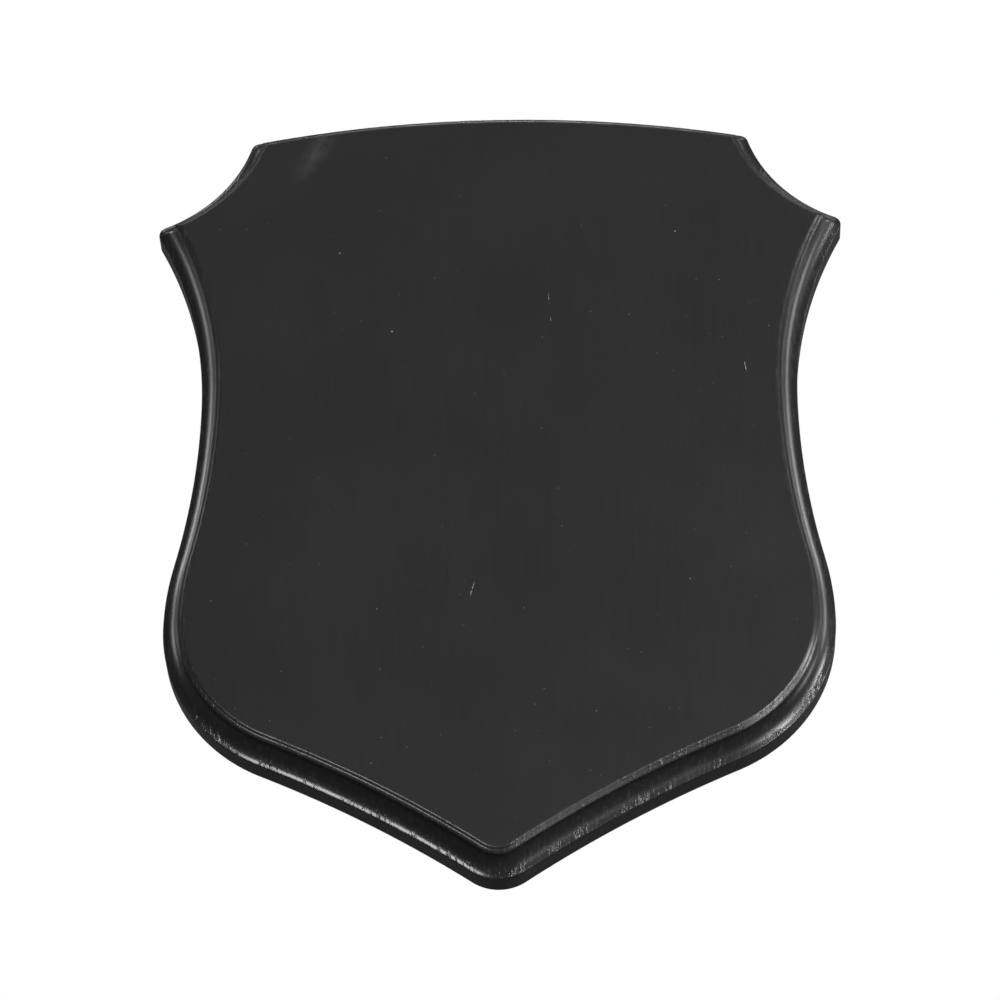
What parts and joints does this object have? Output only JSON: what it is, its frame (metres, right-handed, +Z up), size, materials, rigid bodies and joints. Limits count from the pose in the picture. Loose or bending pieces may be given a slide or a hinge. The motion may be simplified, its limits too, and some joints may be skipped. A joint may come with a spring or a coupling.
{
  "type": "wooden plaque",
  "caption": "Shield-shaped wall plaque with a routed cove edge, a flat front for an award and a recessed keyhole hanger behind.",
  "frame": {"origin": "where the wall screw's shank sits in the top of the keyhole, in the plane of the wall", "axes": "+X to the right as the front is read, +Z up the height, -Y out of the front, so +Y into the wall"},
  "size_m": [0.203, 0.0165, 0.254],
  "materials": {
    "painted_board": "close-grained wood, upright grain, satin black lacquer",
    "hanger_steel": "bright zinc plate",
    "screw_steel": "yellowish zinc plate",
    "pad_felt": "dark pressed felt"
  },
  "bodies": {
    "root": {"shield_board": "painted_board", "hanger_plate": "hanger_steel", "hanger_screws": "screw_steel", "wall_pads": "pad_felt"}
  },
  "joints": []
}
